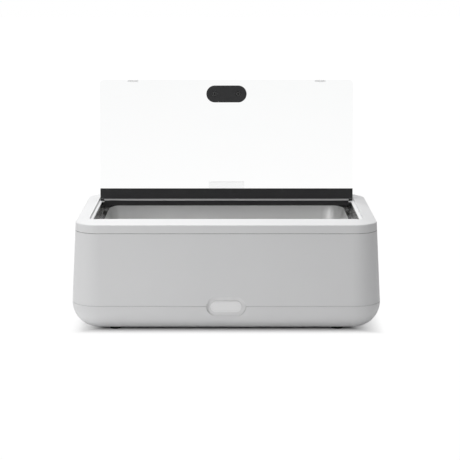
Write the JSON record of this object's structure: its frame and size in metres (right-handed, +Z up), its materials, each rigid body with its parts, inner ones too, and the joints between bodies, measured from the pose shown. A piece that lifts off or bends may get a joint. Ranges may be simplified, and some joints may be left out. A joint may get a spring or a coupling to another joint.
{
  "type": "chafing dish",
  "caption": "Electric buffet warmer with a pale drafted casing, a lift-out food pan over a water well, and a clear hinged lid standing open on its stop.",
  "frame": {"origin": "centre of the overall box, at the floor under the feet", "axes": "+X to the viewer's right along the front, -Y out of the front with the badge seat, +Z up"},
  "size_m": [0.62, 0.415, 0.4821],
  "materials": {
    "casing": "pale moulded casing, fine grain",
    "pan_steel": "bright drawn sheet",
    "clear_sheet": "clear cast sheet, polished",
    "clear_pad": "translucent soft pad",
    "black_rail": "satin black",
    "black_handle": "fine moulded grain",
    "screw_steel": "plain",
    "rod_steel": "ground",
    "badge": "bare satin silver",
    "seal": "moulded",
    "foot_rubber": "matte",
    "post_steel": "plain plated",
    "heater_aluminium": "mill",
    "heater_sheath": "heat darkened",
    "control_black": "fine grain",
    "knob_black": "satin",
    "lamp_red": "clear coloured lens"
  },
  "bodies": {
    "base": {"base_tray": "casing", "housing_shell": "casing", "top_frame": "casing", "frame_screws": "screw_steel", "frame_seal": "seal", "water_pan": "pan_steel", "support_posts": "post_steel", "foot_front_left": "foot_rubber", "foot_front_right": "foot_rubber", "foot_rear_left": "foot_rubber", "foot_rear_right": "foot_rubber", "foot_screws": "screw_steel", "badge_plate": "badge", "heater_plate": "heater_aluminium", "heater_tube": "heater_sheath", "heater_straps": "post_steel", "thermal_cutout": "control_black", "heat_shield": "post_steel", "terminal_block": "control_black", "control_panel": "control_black", "panel_screws": "screw_steel", "inlet_socket": "control_black", "inlet_screws": "screw_steel", "switch_body": "control_black", "pilot_lamp": "lamp_red", "thermostat_body": "control_black"},
    "food_pan": {"food_pan": "pan_steel"},
    "lid_frame": {"rear_lid_panel": "clear_sheet", "rear_lid_rail": "black_rail", "rail_screws": "screw_steel", "lid_stop": "clear_sheet", "hinge_rod": "rod_steel", "hinge_cap_left": "black_rail", "hinge_cap_right": "black_rail"},
    "lid": {"lid_panel": "clear_sheet", "lid_rail": "black_rail", "lid_barrel": "rod_steel", "lid_pads": "clear_pad", "handle_backing": "black_handle", "handle_screws": "screw_steel", "handle_grip": "black_handle"},
    "thermostat_knob": {"thermostat_knob": "knob_black", "thermostat_shaft": "rod_steel"},
    "power_switch": {"power_switch": "knob_black"}
  },
  "joints": [
    {"name": "lid_hinge", "type": "hinge", "parent": "lid_frame", "child": "lid", "pos_m": [0, 0.087, 0.2275], "axis": [1, 0, 0], "range_deg": [0, 96.3]},
    {"name": "lid_lift", "type": "slide", "parent": "base", "child": "lid_frame", "axis": [0, 0, 1], "range_m": [0, 0.2]},
    {"name": "food_pan_lift", "type": "slide", "parent": "base", "child": "food_pan", "axis": [0, 0, 1], "range_m": [0, 0.1]},
    {"name": "knob_turn", "type": "hinge", "parent": "base", "child": "thermostat_knob", "pos_m": [-0.062, 0.2, 0.092], "axis": [0, 1, 0], "range_deg": [0, 270]},
    {"name": "switch_rock", "type": "hinge", "parent": "base", "child": "power_switch", "pos_m": [0.014, 0.1834, 0.092], "axis": [-1, 0, 0], "range_deg": [0, 16]}
  ],
  "couplings": [
    {"joint": "food_pan_lift", "follows": "lid_lift", "ratio": 0.5}
  ]
}
